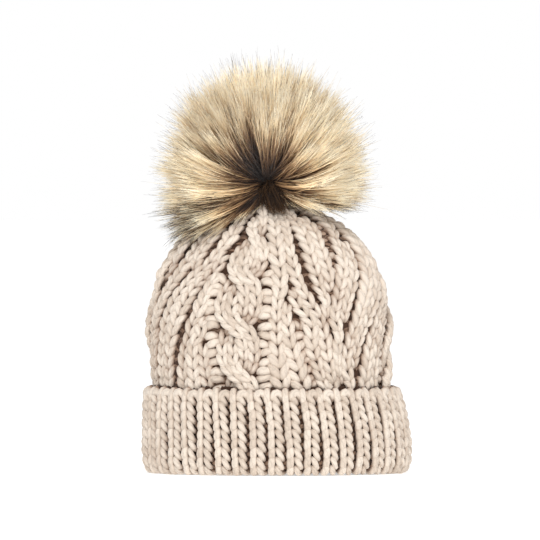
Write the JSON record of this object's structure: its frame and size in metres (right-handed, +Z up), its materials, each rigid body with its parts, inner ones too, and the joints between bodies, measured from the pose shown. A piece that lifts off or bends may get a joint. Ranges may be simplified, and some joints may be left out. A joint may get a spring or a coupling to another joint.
{
  "type": "pom pom beanie",
  "caption": "Chunky cable-knit winter hat with a turned-up rib cuff and a large long-haired faux-fur pom pom held to its peak by a buttoned elastic loop.",
  "frame": {"origin": "centre of the cuff's fold, on the level face that the hat stands on", "axes": "+Z up towards the pom pom, -Y the front of the hat, +X to the right as seen from the front"},
  "size_m": [0.1901, 0.142, 0.291],
  "materials": {
    "knit_yarn": "soft oatmeal cream super-bulky wool-blend yarn",
    "button_plastic": "satin tan moulded button",
    "elastic_cord": "black braided elastic cord",
    "felt": "dark brown stiff felt",
    "sewing_thread": "brown buttonhole thread",
    "fibre_fill": "white polyester fibre fill",
    "fur_backing": "brown knitted pile backing",
    "fur": "long faux raccoon fur, dark roots, taupe, cream and dark tips"
  },
  "bodies": {
    "hat": {"turned_up_cuff": "knit_yarn", "inner_rib_band": "knit_yarn", "cable_crown": "knit_yarn", "crown_drawstring": "knit_yarn"},
    "button": {"inner_button": "button_plastic"},
    "loop": {"elastic_loop": "elastic_cord"},
    "knot": {"loop_knot": "elastic_cord"},
    "pom": {"pom_base_disc": "felt", "pom_gather_thread": "sewing_thread", "pom_stuffing": "fibre_fill", "pom_backing": "fur_backing", "pom_fur_pile": "fur"}
  },
  "joints": [
    {"name": "pom_spin", "type": "hinge", "parent": "hat", "child": "button", "pos_m": [-0.0055, 0, 0.18], "axis": [0, 0, 1], "continuous": true},
    {"name": "pom_pull", "type": "slide", "parent": "button", "child": "loop", "axis": [0, 0, 1], "range_m": [0, 0.012], "stiffness_N_per_m": 120, "deforming": ["elastic_loop"]},
    {"name": "pom_nod", "type": "hinge", "parent": "loop", "child": "knot", "pos_m": [-0.0055, 0, 0.19943], "axis": [1, 0, 0], "range_deg": [-10, 10], "stiffness_Nm_per_rad": 0.12},
    {"name": "pom_sway", "type": "hinge", "parent": "knot", "child": "pom", "pos_m": [-0.0055, 0, 0.19943], "axis": [0, 1, 0], "range_deg": [-10, 10], "stiffness_Nm_per_rad": 0.12}
  ]
}
